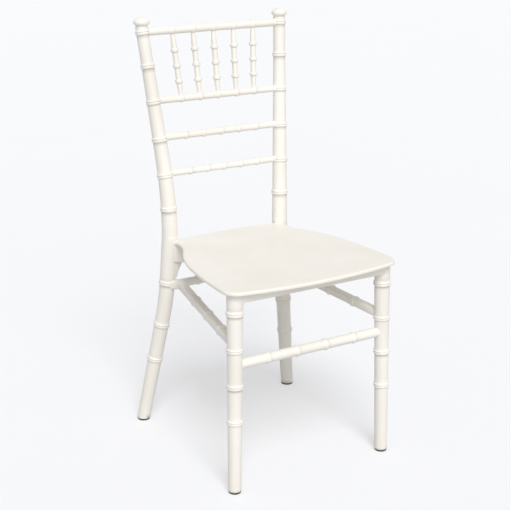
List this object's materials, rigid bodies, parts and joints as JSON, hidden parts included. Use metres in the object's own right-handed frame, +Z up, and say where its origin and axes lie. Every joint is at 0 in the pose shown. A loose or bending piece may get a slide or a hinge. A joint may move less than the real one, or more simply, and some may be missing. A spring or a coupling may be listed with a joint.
{
  "type": "chiavari chair",
  "caption": "Ivory moulded-resin chiavari chair: bamboo-ringed legs and posts, spindle back, rounded seat with hidden sockets, floor glides.",
  "frame": {"origin": "middle of the chair's bounding box in plan, on the floor under the glides", "axes": "+Z up, front of the seat towards -Y, back posts towards +Y, +X to the viewer's right when facing the chair's front; mirror plane X = 0"},
  "size_m": [0.4224, 0.4683, 0.92],
  "materials": {
    "ivory_resin": "satin-gloss ivory moulded resin, coloured right through",
    "black_glide": "matt black moulded glide",
    "zinc_steel": "zinc-plated screw"
  },
  "bodies": {
    "root": {"seat": "ivory_resin", "front_leg_right": "ivory_resin", "front_leg_left": "ivory_resin", "rear_leg_right": "ivory_resin", "rear_leg_left": "ivory_resin", "back_post_right": "ivory_resin", "back_post_left": "ivory_resin", "finial_right": "ivory_resin", "finial_left": "ivory_resin", "side_stretcher_right": "ivory_resin", "side_stretcher_left": "ivory_resin", "foot_glide_front_right": "black_glide", "foot_glide_front_left": "black_glide", "foot_glide_rear_right": "black_glide", "foot_glide_rear_left": "black_glide", "lower_back_rail": "ivory_resin", "upper_back_rail": "ivory_resin", "spindle_rail": "ivory_resin", "top_rail": "ivory_resin", "spindle_1": "ivory_resin", "spindle_2": "ivory_resin", "spindle_3": "ivory_resin", "spindle_4": "ivory_resin", "spindle_5": "ivory_resin", "front_stretcher": "ivory_resin", "rear_stretcher": "ivory_resin", "socket_screws": "zinc_steel"}
  },
  "joints": []
}
